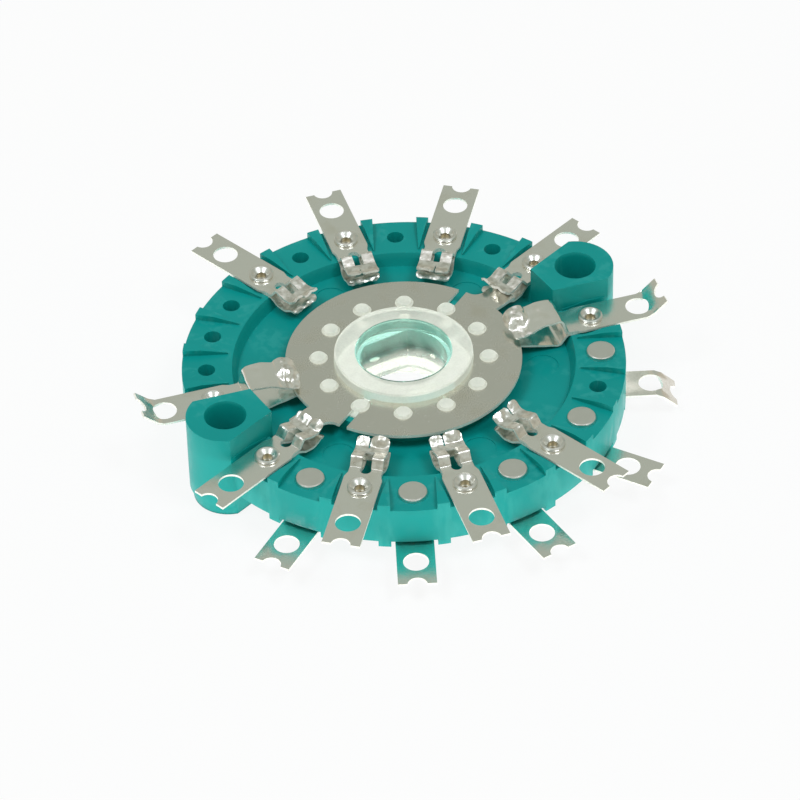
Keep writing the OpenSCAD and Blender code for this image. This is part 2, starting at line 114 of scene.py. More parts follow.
class Graph:
    """Node tree of a material or of the room while it is being put together."""

    def __init__(self, owner: Material | bpy.types.World, kind: str = "Material") -> None:
        """Starts an empty tree with its output.

        Args:
            owner: The material or the room's world.
            kind: Which of the two it is, in Blender's word.
        """
        self.owner = owner
        owner.use_nodes = True
        self.tree = owner.node_tree
        self.tree.nodes.clear()
        self.output = self.tree.nodes.new(f"ShaderNodeOutput{kind}")

    def node(self, kind: str, inputs: dict | None = None, **settings: object) -> Node:
        """Adds a node.

        Args:
            kind: Blender's type name of the node.
            inputs: Values or sockets by input name or index.
            settings: Properties of the node itself.

        Returns:
            The node.
        """
        made = self.tree.nodes.new(kind)
        for key, value in settings.items():
            setattr(made, key, value)
        for key, value in (inputs or {}).items():
            if isinstance(value, Socket):
                self.tree.links.new(value, made.inputs[key])
            else:
                made.inputs[key].default_value = value
        return made

    def math(self, operation: str, a: object, b: object = 0.0, clamp: bool = False) -> Socket:
        """Adds a calculation on two numbers or sockets, which can be held between 0 and 1."""
        made = self.node("ShaderNodeMath", {0: a, 1: b}, operation=operation, use_clamp=clamp)
        return made.outputs[0]

    def times(self, a: object, b: object) -> Socket:
        """Product of two numbers or sockets."""
        return self.math("MULTIPLY", a, b)

    def plus(self, a: object, b: object) -> Socket:
        """Sum of two numbers or sockets."""
        return self.math("ADD", a, b)

    def rest(self, share: object) -> Socket:
        """What a share leaves of 1."""
        return self.math("SUBTRACT", 1.0, share)

    def length(self, a: Socket, b: Socket) -> Socket:
        """Length of the line to a point from its two distances."""
        return self.math("SQRT", self.plus(self.math("POWER", a, 2.0), self.math("POWER", b, 2.0)))

    def span(self, value: Socket, between: Span, to: Span = (0.0, 1.0)) -> Socket:
        """Maps a span of values smoothly to another.

        Args:
            value: The socket to map.
            between: The two ends of its span.
            to: What they become.

        Returns:
            The mapped socket.
        """
        ends = {"From Min": between[0], "From Max": between[1], "To Min": to[0], "To Max": to[1]}
        inputs = {"Value": value, **ends}
        made = self.node("ShaderNodeMapRange", inputs, interpolation_type="SMOOTHSTEP")
        return made.outputs["Result"]

    def mix(self, share: object, a: object, b: object) -> Socket:
        """Mixes two colours.

        Args:
            share: Share of the second colour, a number or a socket.
            a: First colour or socket.
            b: Second colour or socket.

        Returns:
            The mixed colour's socket.
        """
        first, second = (c if isinstance(c, Socket) else (*c, 1.0) for c in (a, b))
        inputs = {0: share, 6: first, 7: second}
        return self.node("ShaderNodeMix", inputs, data_type="RGBA").outputs[2]

    def place(self) -> Socket:
        """Point on the object in its own frame, in metres."""
        return self.node("ShaderNodeTexCoord").outputs["Object"]

    def axes(self, at: Socket) -> tuple[Socket, ...]:
        """The three parts of a point or a direction."""
        return tuple(self.node("ShaderNodeSeparateXYZ", {0: at}).outputs)

    def noise(self, at: Socket, pattern: Pattern) -> Socket:
        """Adds a noise pattern.

        Args:
            at: Point that the pattern is read at.
            pattern: The pattern.

        Returns:
            The pattern's socket, from 0 to 1.
        """
        scaled = self.node("ShaderNodeMapping", {"Vector": at, "Scale": pattern.stretch}).outputs[0]
        inputs = {"Vector": scaled, "Scale": pattern.per_mm / MM, "Detail": pattern.detail}
        return self.node("ShaderNodeTexNoise", inputs).outputs["Fac"]

    def bump(self, height: Socket, depth_mm: float, under: Socket | None = None) -> Socket:
        """Adds a bump.

        Args:
            height: The pattern, from 0 to 1.
            depth_mm: Height of the pattern in millimetres.
            under: A normal to start from.

        Returns:
            The bumped normal's socket.
        """
        inputs = {"Height": height, "Distance": depth_mm * MM, "Strength": 1.0}
        if under is not None:
            inputs["Normal"] = under
        return self.node("ShaderNodeBump", inputs).outputs[0]

    def principled(self, inputs: dict) -> Node:
        """Adds the general shader with its inputs."""
        return self.node("ShaderNodeBsdfPrincipled", inputs)

    def blend(self, share: object, a: Node, b: Node) -> Node:
        """Mixes two shaders by the second one's share, a number or a socket."""
        return self.node("ShaderNodeMixShader", {0: share, 1: a.outputs[0], 2: b.outputs[0]})

    def surface(self, shader: Node) -> Material | bpy.types.World:
        """Makes the shader the surface and returns the owner."""
        self.tree.links.new(shader.outputs[0], self.output.inputs["Surface"])
        return self.owner


@dataclass(frozen=True)
class MouldedFinish:
    """Satin coloured moulding with a fine grain, slight flow marks and scuffed edges."""

    name: str = "teal_moulding"
    colour: Colour = (0.003, 0.305, 0.283)
    deep: Colour = (0.002, 0.277, 0.257)
    pale: Colour = (0.045, 0.390, 0.360)
    roughness: Span = (0.29, 0.41)
    index: float = 1.5
    sheen: float = 0.2
    flow: Pattern = Pattern(0.12, 4.0, (1.0, 1.0, 2.0))
    flow_span: Span = (0.35, 0.70)
    flow_depth: float = 0.02
    grain: Pattern = Pattern(9.0, 2.0)
    grain_depth: float = 0.0025
    scuff: Pattern = Pattern(1.6, 6.0, (1.0, 1.0, 0.4))
    scuff_span: Span = (0.40, 0.62)
    edge_span: Span = (0.53, 0.62)
    worn_share: float = 0.35
    worn_rough: float = 0.12

    def material(self) -> Material:
        """Builds the material.

        Returns:
            The material.
        """
        g = Graph(bpy.data.materials.new(self.name))
        at = g.place()
        flow, scuff = g.noise(at, self.flow), g.noise(at, self.scuff)
        edge = g.span(g.node("ShaderNodeNewGeometry").outputs["Pointiness"], self.edge_span)
        worn = g.times(edge, g.span(scuff, self.scuff_span))
        body = g.mix(g.span(flow, self.flow_span), self.colour, self.deep)
        rough = g.span(scuff, BULK, self.roughness)
        normal = g.bump(flow, self.flow_depth)
        inputs = {
            "Base Color": g.mix(g.times(worn, self.worn_share), body, self.pale),
            "Roughness": g.plus(rough, g.times(worn, self.worn_rough)),
            "Normal": g.bump(g.noise(at, self.grain), self.grain_depth, normal),
            "IOR": self.index,
            "Specular IOR Level": self.sheen,
        }
        return g.surface(g.principled(inputs))


@dataclass(frozen=True)
class ClearFinish:
    """Clear moulding: hazy face, frosted pins, green high in the shaft hole as a painted reflection
    of the teal wafer seen through it, haze low in it.

    Radii and heights are in millimetres. Each haze is the share of milky plastic.
    """

    name: str = "clear_moulding"
    colour: Colour = (0.97, 0.995, 0.955)
    # Painted reflection: green put high in the shaft hole in place of the teal wafer seen through
    # the hub
    painted_teal_reflection: Colour = (0.24, 0.83, 0.73)
    milk: Colour = (0.985, 0.995, 0.90)
    dim_milk: Colour = (0.91605, 0.92535, 0.837)
    shade: Colour = (0.985, 0.995, 0.985)
    roughness: float = 0.03
    index: float = 1.5
    hole_rim: Span = (3.62, 3.68)
    pin_rim: Span = (5.3, 5.35)
    foot_z: Span = (-0.6, 0.2)
    painted_reflection_z: Span = (-0.2, 0.4)
    hole_haze: Span = (0.34, 0.04)
    face_haze: float = 0.70
    pin_haze: float = 0.95
    uneven_haze: Span = (-0.10, 0.06)
    haze_rough: float = 0.3
    glow_share: float = 0.25
    fine: Pattern = Pattern(7.0, 4.0)
    fine_span: Span = (0.35, 0.7)
    pin_grain: float = 0.06
    wave: Pattern = Pattern(0.45, 2.0)
    wave_depth: float = 0.02

    def material(self) -> Material:
        """Builds the material.

        Returns:
            The material.
        """
        g = Graph(bpy.data.materials.new(self.name))
        at = g.place()
        x, y, z = g.axes(at)
        radius = g.length(x, y)
        fine, wave = g.noise(at, self.fine), g.noise(at, self.wave)
        pin = g.span(radius, metres(self.pin_rim))
        face = g.span(radius, metres(self.hole_rim))
        hole = g.rest(face)
        foot = g.span(z, metres(self.foot_z), self.hole_haze)
        haze = g.plus(g.times(foot, hole), g.times(face, self.face_haze))
        haze = g.plus(haze, g.times(pin, self.pin_haze - self.face_haze))
        haze = g.math("ADD", haze, g.span(wave, BULK, self.uneven_haze), clamp=True)
        normal = g.bump(g.times(fine, pin), self.pin_grain, g.bump(wave, self.wave_depth))
        # Painted reflection: the upper shaft hole is tinted green in place of the teal wafer seen
        # through the clear hub
        tint = g.mix(g.times(g.span(z, metres(self.painted_reflection_z)), hole), self.colour, self.painted_teal_reflection)
        both = {"Normal": normal, "IOR": self.index}
        glass = {"Base Color": tint, "Roughness": self.roughness, "Transmission Weight": 1.0}
        clear = g.principled({**glass, **both})
        cloud = g.mix(g.span(fine, self.fine_span), self.milk, self.dim_milk)
        matt = g.principled({"Base Color": cloud, "Roughness": self.haze_rough, **both})
        through = g.node("ShaderNodeBsdfTranslucent", {"Color": cloud})
        solid = g.blend(haze, clear, g.blend(self.glow_share, matt, through))
        ray = g.node("ShaderNodeLightPath").outputs
        passing = g.math("MAXIMUM", ray["Is Shadow Ray"], ray["Is Diffuse Ray"])
        open_air = g.node("ShaderNodeBsdfTransparent", {"Color": (*self.shade, 1.0)})
        return g.surface(g.blend(passing, solid, open_air))


@dataclass(frozen=True)
class CutEdgeWithPaintedHighlight:
    """Sheared edge of the plated sheet: paler and duller than its face; the pale colour is partly a
    painted highlight along the edge.
    """

    name: str = "clip_cut_edge_painted_highlight"
    # Pale cream: partly the sheared metal, partly a painted highlight along the edge
    colour: Colour = (0.95, 0.94, 0.87)
    torn: Colour = (0.817, 0.8084, 0.7482)
    roughness: Span = (0.28, 0.42)
    metal: float = 0.25
    tear: Pattern = Pattern(8.0, 3.0, (1.0, 1.0, 0.3))
    tear_span: Span = (0.35, 0.65)
    tear_depth: float = 0.004

    def material(self) -> Material:
        """Builds the material.

        Returns:
            The material.
        """
        g = Graph(bpy.data.materials.new(self.name))
        tear = g.noise(g.place(), self.tear)
        inputs = {
            "Base Color": g.mix(g.span(tear, self.tear_span), self.colour, self.torn),
            "Roughness": g.span(tear, BULK, self.roughness),
            "Normal": g.bump(tear, self.tear_depth),
            "Metallic": self.metal,
        }
        return g.surface(g.principled(inputs))


@dataclass(frozen=True)
class SheetFinish:
    """Plated spring sheet with handling marks, crumpled and spotted inside the jaw's reach.

    A sheet with cut sides shows its sheared edge where its faces stand upright, paler partly as a
    painted highlight.
    """

    name: str = "clip_sheet"
    colour: Colour = (0.94, 0.925, 0.87)
    stain: Colour = (0.80, 0.76, 0.65)
    mottle: Colour = (0.55, 0.525, 0.45)
    roughness: Span = (0.15, 0.23)
    cloud: Pattern = Pattern(0.45, 4.0)
    stain_span: Span = (0.50, 0.78)
    stain_share: float = 0.55
    fine: Pattern = Pattern(14.0)
    fine_span: Span = (0.4, 0.7)
    fine_rough: float = 0.04
    fine_depth: float = 0.0008
    dents: Pattern = Pattern(1.1, 2.0)
    dent_depth: float = 0.008
    jaw_reach: float = 12.5
    jaw_blur: float = 0.5
    jaw_rough: float = 0.13
    folds: Pattern = Pattern(1.5, 2.0)
    fold_depth: float = 0.09
    spots: Pattern = Pattern(1.9)
    spot_span: Span = (0.40, 0.66)
    spot_share: float = 0.65
    cut_sides_with_painted_highlight: bool = False
    cut: CutEdgeWithPaintedHighlight = CutEdgeWithPaintedHighlight()
    upright: Span = (0.3, 0.6)

    def material(self) -> Material:
        """Builds the material.

        Returns:
            The material.
        """
        g = Graph(bpy.data.materials.new(self.name))
        at = g.place()
        cloud, fine, dents = (g.noise(at, p) for p in (self.cloud, self.fine, self.dents))
        stained = g.span(cloud, self.stain_span, (0.0, self.stain_share))
        reach = g.node("ShaderNodeVectorMath", {0: at}, operation="LENGTH").outputs["Value"]
        jaw = g.span(reach, metres((self.jaw_reach, self.jaw_reach + self.jaw_blur)), (1.0, 0.0))
        grain = g.span(fine, self.fine_span, (0.0, self.fine_rough))
        rough = g.plus(g.span(cloud, BULK, self.roughness), grain)
        normal = g.bump(g.times(g.noise(at, self.folds), jaw), self.fold_depth)
        normal = g.bump(fine, self.fine_depth, g.bump(dents, self.dent_depth, normal))
        spots = g.span(g.noise(at, self.spots), self.spot_span, (0.0, self.spot_share))
        tint = g.mix(stained, self.colour, self.stain)
        inputs = {
            "Base Color": g.mix(g.times(jaw, spots), tint, self.mottle),
            "Roughness": g.plus(rough, g.times(jaw, self.jaw_rough)),
            "Normal": normal,
            "Metallic": 1.0,
        }
        if self.cut_sides_with_painted_highlight:
            # Upright faces take the cut edge's pale colour: partly sheared metal, partly a painted
            # highlight
            up = g.axes(g.node("ShaderNodeNewGeometry").outputs["True Normal"])[2]
            edge = g.span(g.math("ABSOLUTE", up), self.upright, (1.0, 0.0))
            inputs["Base Color"] = g.mix(edge, inputs["Base Color"], self.cut.colour)
            inputs["Metallic"] = g.rest(g.times(edge, 1.0 - self.cut.metal))
        return g.surface(g.principled(inputs))


@dataclass(frozen=True)
class RivetFinish:
    """Bright plated rivet, brassy inside its hollow. Lengths are in millimetres."""

    name: str
    side: Side
    colour: Colour = (0.78, 0.78, 0.73)
    brass: Colour = (0.50, 0.41, 0.24)
    roughness: Span = (0.28, 0.36)
    brass_rough: float = 0.12
    circle: float = 14.75
    hollow: Span = (0.24, 0.44)
    height: Span = (0.0, 0.1)
    cloud: Pattern = Pattern(2.2, 4.0)
    cloud_depth: float = 0.006
    fine: Pattern = Pattern(16.0)
    fine_depth: float = 0.0008

    def material(self) -> Material:
        """Builds the material.

        Returns:
            The material.
        """
        g = Graph(bpy.data.materials.new(self.name))
        at = g.place()
        cloud, fine = g.noise(at, self.cloud), g.noise(at, self.fine)
        x, y, z = g.axes(at)
        radius = g.length(x, y)
        half = math.radians(STEP_DEG) / 2
        wrapped = {0: g.math("ARCTAN2", y, x), 1: half, 2: -half}
        turn = g.node("ShaderNodeMath", wrapped, operation="WRAP").outputs[0]
        out = g.math("SUBTRACT", g.times(radius, g.math("COSINE", turn)), self.circle * MM)
        across = g.times(radius, g.math("SINE", turn))
        near = g.span(g.length(out, across), metres(self.hollow), (1.0, 0.0))
        above = g.span(g.times(z, float(self.side.value)), metres(self.height))
        inside = g.times(near, above)
        rough = g.span(cloud, BULK, self.roughness)
        inputs = {
            "Base Color": g.mix(inside, self.colour, self.brass),
            "Roughness": g.plus(rough, g.times(inside, self.brass_rough)),
            "Normal": g.bump(fine, self.fine_depth, g.bump(cloud, self.cloud_depth)),
            "Metallic": 1.0,
        }
        return g.surface(g.principled(inputs))


@dataclass(frozen=True)
class Studio:
    """Pale floor, soft light from two boxes and a plain grey room.

    The floor's height and gap are in millimetres, other lengths in metres. Each lamp's way is its
    turn round the object and its rise over the floor, in degrees.
    """

    floor_z: float = -3.7
    floor_gap: float = 0.005
    floor_size: float = 6.0
    paper: Colour = (0.88, 0.88, 0.88)
    shadow_share: float = 0.12
    room_grey: Colour = (0.405, 0.435, 0.385)
    horizon: Colour = (0.50, 0.46, 0.38)
    ceiling: Colour = (0.72, 0.72, 0.71)
    room_stops: Floats = (0.0, 0.18, 0.45, 0.84, 0.95)
    box_tint: Colour = (0.95, 1.0, 1.08)
    box_reach: float = 0.55
    box_size: float = 0.16
    box_power: float = 0.78
    left_way: Point = (-93.5, 58.0)
    right_way: Point = (26.5, 62.0)
    table_tint: Colour = (1.0, 1.0, 0.97)
    table_size: float = 0.3
    table_glow: float = 1.58
    table_way: Point = (0.0, -90.0)

    def build(self) -> None:
        """Makes the floor, the room and the lamps."""
        self.floor()
        self.room()
        self.lamps()
        bpy.context.scene.view_settings.view_transform = "Standard"

    def floor(self) -> None:
        """Makes the white floor, which keeps the object's shadow and is clear from below."""
        half = self.floor_size / 2
        mesh = bpy.data.meshes.new("studio_floor")
        corners = [(-half, -half, 0.0), (half, -half, 0.0), (half, half, 0.0), (-half, half, 0.0)]
        mesh.from_pydata(corners, [], [(0, 1, 2, 3)])
        plane = bpy.data.objects.new("studio_floor", mesh)
        plane.location.z = (self.floor_z - self.floor_gap) * MM
        bpy.context.scene.collection.objects.link(plane)
        g = Graph(bpy.data.materials.new("studio_paper"))
        ray = g.node("ShaderNodeLightPath").outputs
        mirrored = g.math("MAXIMUM", ray["Is Glossy Ray"], ray["Is Transmission Ray"])
        seen = g.math("MAXIMUM", ray["Is Camera Ray"], mirrored)
        matt = g.node("ShaderNodeBsdfDiffuse", {"Color": (*self.paper, 1.0)})
        white = g.node("ShaderNodeEmission", {"Color": (1.0, 1.0, 1.0, 1.0), "Strength": 1.0})
        paper = g.blend(seen, matt, g.blend(self.shadow_share, white, matt))
        under = g.node("ShaderNodeNewGeometry").outputs["Backfacing"]
        clear = g.node("ShaderNodeBsdfTransparent")
        mesh.materials.append(g.surface(g.blend(under, paper, clear)))

    def room(self) -> None:
        """Makes the room: warm at the horizon, grey above it, pale overhead."""
        g = Graph(bpy.data.worlds.new("studio_room"), "World")
        way = g.node("ShaderNodeTexCoord").outputs["Generated"]
        fade = g.node("ShaderNodeValToRGB", {0: g.axes(way)[2]})
        fade.color_ramp.interpolation = "EASE"
        colours = (self.horizon, self.horizon, self.room_grey, self.room_grey, self.ceiling)
        stops = [(position, (*c, 1.0)) for position, c in zip(self.room_stops, colours)]
        elements = fade.color_ramp.elements
        for index in (0, -1):
            elements[index].position, elements[index].color = stops[index]
        for position, colour in stops[1:-1]:
            elements.new(position).color = colour
        back = g.node("ShaderNodeBackground", {"Color": fade.outputs[0]})
        bpy.context.scene.world = g.surface(back)

    def lamps(self) -> None:
        """Hangs two soft boxes above the object and lights the table under it."""
        glow = self.table_glow * math.pi * self.table_size ** 2
        for name, (turn, rise), size, power, tint in (
            ("box_left", self.left_way, self.box_size, self.box_power, self.box_tint),
            ("box_right", self.right_way, self.box_size, self.box_power, self.box_tint),
            ("table_glow", self.table_way, self.table_size, glow, self.table_tint),
        ):
            lamp = bpy.data.lights.new(name, "AREA")
            lamp.shape, lamp.size, lamp.energy, lamp.color = "SQUARE", size, power, tint
            a, e = math.radians(turn), math.radians(rise)
            back = Vector((math.sin(a) * math.cos(e), -math.cos(a) * math.cos(e), math.sin(e)))
            holder = bpy.data.objects.new(name, lamp)
            holder.location = back * self.box_reach
            holder.rotation_euler = (-back).to_track_quat("-Z", "Y").to_euler()
            bpy.context.scene.collection.objects.link(holder)
        # The table's lamp, made last, lies on the floor out of sight
        holder.location = (0.0, 0.0, self.floor_z * MM)
        for kind in ("camera", "glossy", "transmission"):
            setattr(holder, f"visible_{kind}", False)


@dataclass(frozen=True)
class PhotoCamera:
    """The camera that looks at the object as the photograph does."""

    turn: float = 31.472
    rise: float = 41.042
    roll: float = 1.577
    distance: float = 340.56
    aim: tuple[float, float, float] = (-0.363, -4.384, 1.5)
    lens: float = 207.05
    sensor: float = 36.0
    clip: Span = (0.02, 20.0)

    def build(self) -> None:
        """Makes the camera and gives it to the scene."""
        pose = Matrix.Rotation(-math.radians(self.turn), 4, "Z")
        pose @= Matrix.Translation(Vector(self.aim) * MM)
        pose @= Matrix.Rotation(math.radians(90.0 - self.rise), 4, "X")
        pose @= Matrix.Rotation(-math.radians(self.roll), 4, "Z")
        data = bpy.data.cameras.new("photo_camera")
        data.lens = self.lens
        data.sensor_width = self.sensor
        data.clip_start, data.clip_end = self.clip
        holder = bpy.data.objects.new("photo_camera", data)
        holder.matrix_world = pose @ Matrix.Translation((0.0, 0.0, self.distance * MM))
        bpy.context.scene.collection.objects.link(holder)
        bpy.context.scene.camera = holder


@dataclass(frozen=True)
class NodeDresser:
    """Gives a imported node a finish, and soft edges or a thinner body where these have a size."""

    edge: float = 0.0
    segments: int = 3
    angle: float = 32.0
    weld: float = 0.002
    shrink: float = 0.0

    def dress(self, node: str, finish: Material) -> None:
        """Dresses one node.

        Args:
            node: Name of the node.
            finish: The material.
        """
        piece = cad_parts[node]
        piece.data.materials.clear()
        piece.data.materials.append(finish)
        LOG.info("dressed %s", node)
        if self.edge:
            weld = piece.modifiers.new("joined", "WELD")
            weld.merge_threshold = self.weld * MM
            bevel = piece.modifiers.new("soft_edge", "BEVEL")
            bevel.width = self.edge * MM
            bevel.segments = self.segments
            bevel.limit_method = "ANGLE"
            bevel.angle_limit = math.radians(self.angle)
            bevel.harden_normals = True
        if self.shrink:
            thin = piece.modifiers.new("clear_of_blades", "DISPLACE")
            thin.strength = -self.shrink * MM
            thin.mid_level = 0.0


@dataclass
class Wafer:
    """The moulded wafer with its two tie rod posts."""

    dresser: NodeDresser = NodeDresser(edge=0.14)
    finish: MouldedFinish = MouldedFinish()

    def build(self) -> None:
        """Dresses the wafer."""
        self.dresser.dress("stator", self.finish.material())


@dataclass
class Rotor:
    """The clear hub and its contact blades."""

    blades: tuple[str, ...] = ("blade_top_a", "blade_top_b", "blade_bottom_a", "blade_bottom_b")
    hub_dresser: NodeDresser = NodeDresser(shrink=0.012)
    hub_finish: ClearFinish = ClearFinish()
    blade_finish: SheetFinish = SheetFinish(
        name="blade_sheet",
        colour=(0.80, 0.78, 0.72),
        stain=(0.70, 0.66, 0.55),
        roughness=(0.19, 0.27),
        jaw_rough=0.0,
        fold_depth=0.0,
        spot_share=0.0,
        # Upright cut sides painted pale, partly as a highlight along the edge
        cut_sides_with_painted_highlight=True,
    )

    def build(self) -> None:
        """Dresses the hub and the blades."""
        self.hub_dresser.dress("rotor_hub", self.hub_finish.material())
        sheet = self.blade_finish.material()
        for node in self.blades:
            NodeDresser().dress(node, sheet)


class SheetPath:
    """Middle line of a bent strip from its outer end inwards, in millimetres."""

    def __init__(self, corners: Loop, bends: Floats) -> None:
        """Rounds the corners and measures the line.

        Args:
            corners: Radius and height of each corner, outermost first.
            bends: Bend radius at each inner corner.
        """
        spots = [np.array(c, float) for c in corners]
        dots = [spots[0]]
        for a, b, c, r in zip(spots, spots[1:], spots[2:], bends):
            dots.extend(self.arc(a, b, c, r))
        dots.append(spots[-1])
        self.dots = np.array(dots)
        gaps = np.linalg.norm(np.diff(self.dots, axis=0), axis=1)
        self.lengths = np.concatenate(([0.0], np.cumsum(gaps)))
        self.total = float(self.lengths[-1])
        along = np.gradient(self.dots, self.lengths, axis=0)
        self.along = along / np.linalg.norm(along, axis=1)[:, None]

    @staticmethod
    def arc(a: Array, b: Array, c: Array, r: float) -> list[Array]:
        """Replaces a corner by an arc.

        Args:
            a: The corner before.
            b: The corner.
            c: The corner after.
            r: Bend radius.

        Returns:
            Points of the arc.
        """
        back = (a - b) / np.linalg.norm(a - b)
        ahead = (c - b) / np.linalg.norm(c - b)
        half = math.acos(max(-1.0, min(1.0, float(back @ ahead)))) / 2
        sweep = math.pi - 2 * half
        if sweep < STRAIGHT:
            return [b]
        middle = (back + ahead) / np.linalg.norm(back + ahead)
        centre = b + middle * r / math.sin(half)
        start = b + back * r / math.tan(half) - centre
        end = b + ahead * r / math.tan(half) - centre
        dots = []
        for f in np.linspace(0.0, 1.0, ARC_DOTS):
            spoke = start * math.sin(sweep * (1 - f)) + end * math.sin(sweep * f)
            dots.append(centre + spoke / math.sin(sweep))
        return dots

    def at(self, length: Array) -> tuple[Array, ...]:
        """Radius, height and the two parts of the upper normal at lengths along the line."""
        columns = (self.dots[:, 0], self.dots[:, 1], self.along[:, 1], -self.along[:, 0])
        return tuple(np.interp(length, self.lengths, c) for c in columns)

    def length_at(self, radius: float) -> float:
        """Length along the line at which it reaches a radius."""
        return float(np.interp(radius, self.dots[::-1, 0], self.lengths[::-1]))


def ramp(value: Array, low: float, high: float) -> Array:
    """Smooth step from 0 at low to 1 at high."""
    share = np.clip((value - low) / (high - low), 0.0, 1.0)
    return share * share * (3.0 - 2.0 * share)


@dataclass
class Unevenness:
    """Slight waves of a hand bent sheet, the same each time for one seed."""

    seed: int
    shortest: float = 0.7
    longest: float = 1.8
    count: int = 6

    def __call__(self, s: Array, t: Array) -> Array:
        """Adds up the waves.

        Args:
            s: Lengths along the sheet.
            t: Lengths across it.

        Returns:
            Height of the waves, from -1 to 1.
        """
        rng = np.random.default_rng(self.seed)
        total = np.zeros_like(s)
        for _ in range(self.count):
            wave = 2 * math.pi / rng.uniform(self.shortest, self.longest)
            turn, shift = rng.uniform(0, math.pi), rng.uniform(0, 2 * math.pi)
            total += np.sin(wave * (s * math.cos(turn) + t * math.sin(turn)) + shift)
        return total / self.count


@dataclass
class BentLeaf:
    """One leaf of a clip: a flat pattern with holes, bent along a path.

    The outline and the holes are lengths along and across the strip. The lift is the rise over the
    bent strip at such places. The pattern is cut fine from where the bends begin.
    """

    path: SheetPath
    outline: Loop
    holes: list[Loop]
    lift: Lift
    fine_from: float
    fine_step: float = 0.055
    coarse_step: float = 0.7
    column_from: float = 0.06
    column_step: float = 0.11
    border: float = 0.03
    probe: float = 0.012
    join: float = 1e-6

    def refined(self, loop: Loop) -> Array:
        """Splits the long sides of a loop.

        Args:
            loop: Corners of the loop.

        Returns:
            Its points.
        """
        dots: Loop = []
        for a, b in zip(loop, loop[1:] + loop[:1]):
            step = self.fine_step if max(a[0], b[0]) > self.fine_from else self.coarse_step
            n = max(1, math.ceil(math.dist(a, b) / step))
            dots.extend(tuple(p + (q - p) * i / n for p, q in zip(a, b)) for i in range(n))
        return np.array(dots)

    @staticmethod
    def on_sheet(loops: list[Array], dots: Array) -> Array:
        """Tells which points lie in the outline and in no hole.

        Args:
            loops: The refined outline and holes.
            dots: The points to test.

        Returns:
            A truth value for each point.
        """
        x, y = dots[:, 0], dots[:, 1]
        result = np.zeros(len(dots), bool)
        for a, b in ((a, b) for loop in loops for a, b in zip(loop, np.roll(loop, -1, axis=0))):
            if a[1] != b[1]:
                crosses = (a[1] > y) != (b[1] > y)
                result ^= crosses & (x < (b[0] - a[0]) * (y - a[1]) / (b[1] - a[1]) + a[0])
        return result

    def grid(self, loops: list[Array]) -> Array:
        """Points inside the pattern, close together where it is bent.

        Args:
            loops: The refined outline and holes.

        Returns:
            The points.
        """
        low, high = loops[0].min(axis=0), loops[0].max(axis=0)
        coarse = np.arange(low[0], self.fine_from, self.coarse_step)
        fine = np.arange(self.fine_from, high[0], self.fine_step)
        columns = np.arange(low[1] + self.column_from, high[1], self.column_step)
        rows = np.concatenate((coarse, fine))
        dots = np.stack(np.meshgrid(rows, columns, indexing="ij"), axis=-1).reshape(-1, 2)
        dots = dots[self.on_sheet(loops, dots)]
        gaps = np.linalg.norm(dots[:, None, :] - np.concatenate(loops)[None, :, :], axis=2)
        return dots[np.min(gaps, axis=1) > self.border]

    def pattern(self) -> tuple[Array, list[tuple[int, int, int]]]:
        """Cuts the flat pattern into triangles.

        Returns:
            The flat points and the triangles, all turned the same way.
        """
        loops = [self.refined(loop) for loop in (self.outline, *self.holes)]
        edges, first = [], 0
        for loop in loops:
            n = len(loop)
            edges.extend((first + i, first + (i + 1) % n) for i in range(n))
            first += n
        dots = [Vector(d) for d in np.concatenate((*loops, self.grid(loops)))]
        flat, _, faces, *_ = delaunay_2d_cdt(dots, edges, [], 0, self.join, False)
        places = np.array([tuple(v) for v in flat])
        corners = np.array([tuple(f) for f in faces])
        triangles = []
        for a, b, c in corners[self.on_sheet(loops, places[corners].mean(axis=1))].tolist():
            u, v = places[b] - places[a], places[c] - places[a]
            triangles.append((a, c, b) if u[0] * v[1] > u[1] * v[0] else (a, b, c))
        return places, triangles

    def place(self, s: Array, t: Array) -> Array:
        """Bends points of the flat pattern.

        Args:
            s: Lengths along the strip.
            t: Lengths across it.

        Returns:
            Points in millimetres, for a clip on the X axis.
        """
        radius, height, out, up = self.path.at(s)
        rise = self.lift(s, t)
        return np.stack((radius + rise * out, t, height + rise * up), axis=1)

    def solid(self, thickness: float) -> tuple[Array, list[Stations], int]:
        """Gives the bent pattern its thickness.

        Args:
            thickness: Thickness of the sheet.

        Returns:
            Points, faces, and the number of faces before the cut edges.
        """
        flat, triangles = self.pattern()
        s, t, e = flat[:, 0], flat[:, 1], self.probe
        across = self.place(s, t + e) - self.place(s, t - e)
        normal = np.cross(across, self.place(s + e, t) - self.place(s - e, t))
        normal /= np.linalg.norm(normal, axis=1)[:, None]
        middle = self.place(s, t)
        points = np.concatenate((middle + normal * thickness / 2, middle - normal * thickness / 2))
        n = len(flat)
        faces: list[Stations] = list(triangles)
        faces.extend((a + n, c + n, b + n) for a, b, c in triangles)
        directed = {(f[i], f[(i + 1) % 3]) for f in triangles for i in range(3)}
        whole = len(faces)
        faces.extend((a, a + n, b + n, b) for a, b in directed if (b, a) not in directed)
        return points, faces, whole


@dataclass(frozen=True)
class ClipSizes:
    """Sizes that all clips share, in millimetres, radii from the rotor's axis."""

    sheet: float = 0.17
    rivet_at: float = 14.75
    rivet_hole: float = 0.63
    lug_width: float = 2.82
    lug_z: float = 1.77
    eye_at: float = 18.55
    eye: float = 0.94
    notch: float = 0.74
    notch_out: float = 0.111
    shoulder_at: float = 13.7
    neck_at: float = 13.2
    fine_from: float = 12.95
    jaw_width: float = 2.44
    keyhole_at: float = 12.78
    keyhole: float = 0.42
    slot_width: float = 0.72


